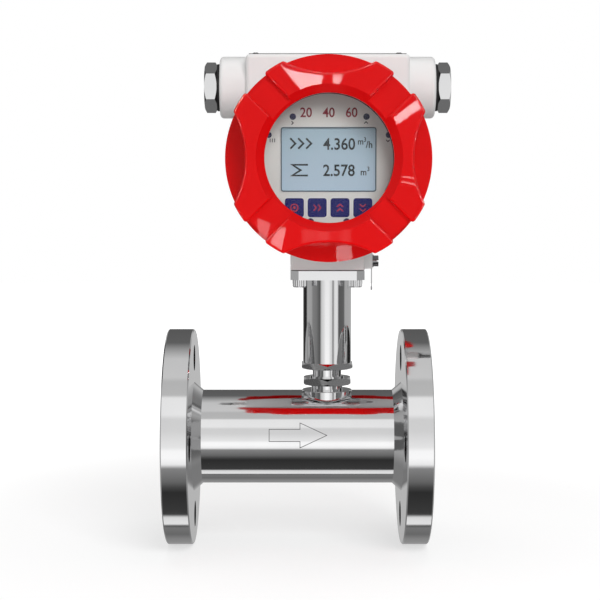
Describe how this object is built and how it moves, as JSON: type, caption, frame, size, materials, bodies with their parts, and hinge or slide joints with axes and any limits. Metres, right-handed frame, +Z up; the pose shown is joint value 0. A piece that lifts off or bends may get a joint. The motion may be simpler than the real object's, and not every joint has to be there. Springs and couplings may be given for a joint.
{
  "type": "turbine flow meter",
  "caption": "In-line turbine flow meter: flanged pipe with a bladed rotor inside, and a round two-chamber display head with a screw-on window cover on a tube above it.",
  "frame": {"origin": "centre of the inlet flange's face, on the bore's axis", "axes": "+X along the bore with the flow, to the outlet flange; +Z up towards the display head; the display faces -Y"},
  "size_m": [0.1946, 0.16, 0.3413],
  "materials": {
    "polished_steel": "mirror polished",
    "turned_steel": "turned",
    "hard_metal": "ground",
    "white_paint": "cast, off-white powder coat",
    "red_paint": "cast, gloss red enamel",
    "black_rubber": "moulded",
    "plate_aluminium": "satin",
    "window_glass": "clear",
    "panel_film": "printed film",
    "display_face": "display",
    "key_film": "printed film",
    "board_laminate": "laminate",
    "black_plastic": "moulded",
    "copper_wire": "wound wire",
    "brass_posts": "turned"
  },
  "bodies": {
    "pipeline": {"upstream_flange": "polished_steel", "downstream_flange": "polished_steel", "meter_pipe": "polished_steel", "sensor_socket": "polished_steel", "upstream_guide": "turned_steel", "downstream_guide": "turned_steel", "upstream_bush": "hard_metal", "downstream_bush": "hard_metal", "upstream_thrust_pad": "hard_metal", "downstream_thrust_pad": "hard_metal", "upstream_circlip": "turned_steel", "downstream_circlip": "turned_steel", "sensor_stem": "polished_steel", "lock_nut": "polished_steel", "lock_washer": "polished_steel", "pickup_shell": "turned_steel", "pickup_coil": "copper_wire", "pickup_magnet": "turned_steel", "pickup_cap": "black_plastic", "pickup_lead": "black_plastic", "lead_connector": "black_plastic"},
    "turbine": {"rotor": "turned_steel", "rotor_shaft": "hard_metal"},
    "head": {"tube_nut": "polished_steel", "support_tube": "polished_steel", "square_plate": "polished_steel", "plate_gasket": "black_rubber", "plate_screws": "turned_steel", "housing": "white_paint", "left_plug": "polished_steel", "right_plug": "polished_steel", "left_plug_gasket": "black_rubber", "right_plug_gasket": "black_rubber", "name_plate": "plate_aluminium", "name_plate_screws": "turned_steel", "earth_washer": "turned_steel", "earth_screw": "turned_steel", "seal_wire": "turned_steel", "lead_seal": "black_rubber", "display_panel": "panel_film", "display_module": "display_face", "key_switches": "black_plastic", "circuit_board": "board_laminate", "board_posts": "brass_posts", "panel_posts": "brass_posts", "panel_screws": "turned_steel", "terminal_block": "black_plastic", "terminal_screws": "turned_steel"},
    "front_thread": {"front_seal": "black_rubber"},
    "front_lid": {"front_cover": "red_paint", "window_gasket": "black_rubber", "window_glass": "window_glass", "glass_ring": "turned_steel"},
    "rear_thread": {"rear_seal": "black_rubber"},
    "rear_lid": {"rear_cover": "red_paint"},
    "set_key_body": {"set_key": "key_film"},
    "shift_key_body": {"shift_key": "key_film"},
    "up_key_body": {"up_key": "key_film"},
    "down_key_body": {"down_key": "key_film"}
  },
  "joints": [
    {"name": "rotor_spin", "type": "hinge", "parent": "pipeline", "child": "turbine", "pos_m": [0.1105, 0, 0], "axis": [1, 0, 0], "continuous": true},
    {"name": "head_swivel", "type": "hinge", "parent": "pipeline", "child": "head", "pos_m": [0.1105, 0, 0.0466], "axis": [0, 0, 1], "range_deg": [-175, 175]},
    {"name": "front_cover_travel", "type": "slide", "parent": "head", "child": "front_thread", "axis": [0, -1, 0], "range_m": [0, 0.012]},
    {"name": "front_cover_turn", "type": "hinge", "parent": "front_thread", "child": "front_lid", "pos_m": [0.1105, -0.04, 0.1925], "axis": [0, -1, 0], "range_deg": [0, 2160]},
    {"name": "rear_cover_travel", "type": "slide", "parent": "head", "child": "rear_thread", "axis": [0, 1, 0], "range_m": [0, 0.012]},
    {"name": "rear_cover_turn", "type": "hinge", "parent": "rear_thread", "child": "rear_lid", "pos_m": [0.1105, 0.036, 0.1925], "axis": [0, 1, 0], "range_deg": [0, 2160]},
    {"name": "set_key_press", "type": "slide", "parent": "head", "child": "set_key_body", "axis": [0, 1, 0], "range_m": [0, 0.0005], "stiffness_N_per_m": 1000},
    {"name": "shift_key_press", "type": "slide", "parent": "head", "child": "shift_key_body", "axis": [0, 1, 0], "range_m": [0, 0.0005], "stiffness_N_per_m": 1000},
    {"name": "up_key_press", "type": "slide", "parent": "head", "child": "up_key_body", "axis": [0, 1, 0], "range_m": [0, 0.0005], "stiffness_N_per_m": 1000},
    {"name": "down_key_press", "type": "slide", "parent": "head", "child": "down_key_body", "axis": [0, 1, 0], "range_m": [0, 0.0005], "stiffness_N_per_m": 1000}
  ],
  "couplings": [
    {"joint": "front_cover_travel", "follows": "front_cover_turn", "m_per_rad": 0.00031831},
    {"joint": "rear_cover_travel", "follows": "rear_cover_turn", "m_per_rad": 0.00031831}
  ]
}
